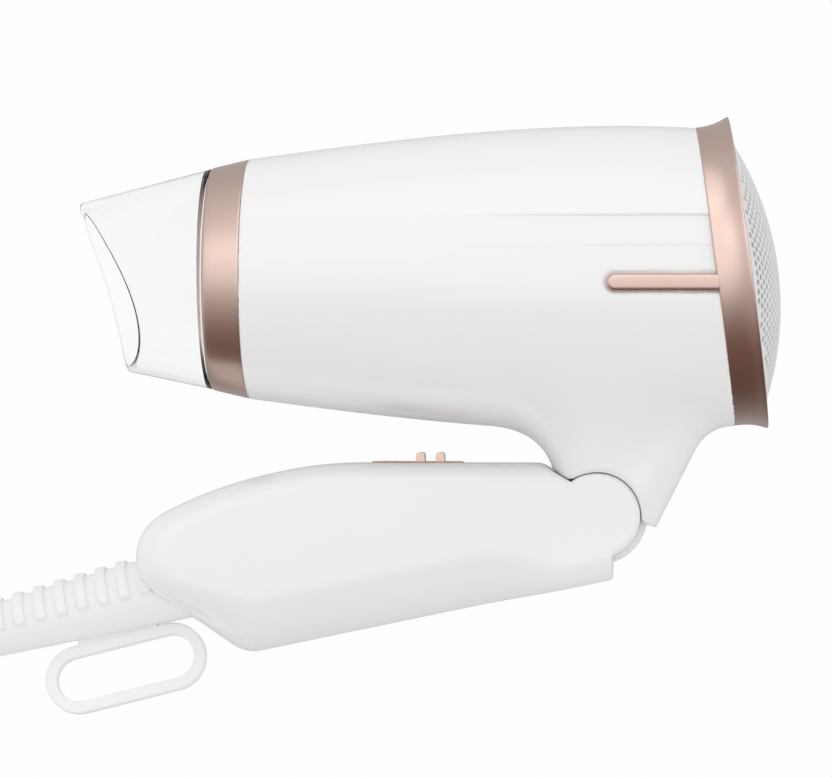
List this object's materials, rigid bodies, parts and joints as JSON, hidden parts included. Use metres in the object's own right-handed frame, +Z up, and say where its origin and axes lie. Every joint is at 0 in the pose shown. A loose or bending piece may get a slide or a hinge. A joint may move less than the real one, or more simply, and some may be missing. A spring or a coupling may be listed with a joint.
{
  "type": "travel hair dryer",
  "caption": "Folding travel hair dryer: round barrel with slanted clear nozzle and domed inlet grille, hinged grip with slide switch, ribbed strain relief and hanging loop.",
  "frame": {"origin": "centre of the air outlet, on the barrel's axis in the plane of the front ring's front edge", "axes": "-X blows out along the barrel, +Z up away from the folded handle, Y across"},
  "size_m": [0.2147, 0.0786, 0.1495],
  "materials": {
    "white_abs": "gloss, moulded",
    "rose_trim": "satin, metallised",
    "clear_nozzle": "clear, moulded",
    "white_pvc": "satin, soft moulding",
    "grille_white": "satin, perforated",
    "dark_plastic": "matte, heat resistant",
    "mica": "matte, pressed mica",
    "heater_wire": "oxidised wire",
    "steel": "bright, turned",
    "circuit_board": "matte laminate",
    "lead_insulation": "matte"
  },
  "bodies": {
    "housing": {"housing_left_shell": "white_abs", "housing_right_shell": "white_abs", "front_trim_ring": "rose_trim", "rear_trim_ring": "rose_trim", "left_trim_bar": "rose_trim", "right_trim_bar": "rose_trim", "inlet_grille": "grille_white", "outlet_guard": "dark_plastic", "heat_liner": "mica", "mica_board_upright": "mica", "mica_board_flat": "mica", "heater_coil": "heater_wire", "thermostat": "steel", "thermal_fuse": "steel", "motor_mount": "dark_plastic", "motor_can": "steel", "motor_end_cap": "dark_plastic", "rectifier_board": "circuit_board", "rectifier_diodes": "dark_plastic", "neck_screws": "steel"},
    "fan": {"impeller": "dark_plastic", "motor_shaft": "steel"},
    "nozzle": {"nozzle": "clear_nozzle"},
    "handle": {"handle_left_shell": "white_abs", "handle_right_shell": "white_abs", "hinge_pin": "steel", "handle_screws": "steel", "switch_frame": "rose_trim", "switch_body": "dark_plastic", "handle_leads": "lead_insulation", "cord_clamp": "white_abs", "strain_relief": "white_pvc", "hanging_loop": "white_pvc"},
    "switch": {"switch_slider": "rose_trim"}
  },
  "joints": [
    {"name": "fold", "type": "hinge", "parent": "housing", "child": "handle", "pos_m": [0.0965, 0, -0.0586], "axis": [0, -1, 0], "range_deg": [0, 60]},
    {"name": "fan_spin", "type": "hinge", "parent": "housing", "child": "fan", "pos_m": [0.104, 0, 0], "axis": [-1, 0, 0], "continuous": true},
    {"name": "nozzle_turn", "type": "hinge", "parent": "housing", "child": "nozzle", "pos_m": [0, 0, 0], "axis": [-1, 0, 0], "continuous": true},
    {"name": "switch_slide", "type": "slide", "parent": "handle", "child": "switch", "axis": [-1, 0, 0], "range_m": [0, 0.008]}
  ]
}
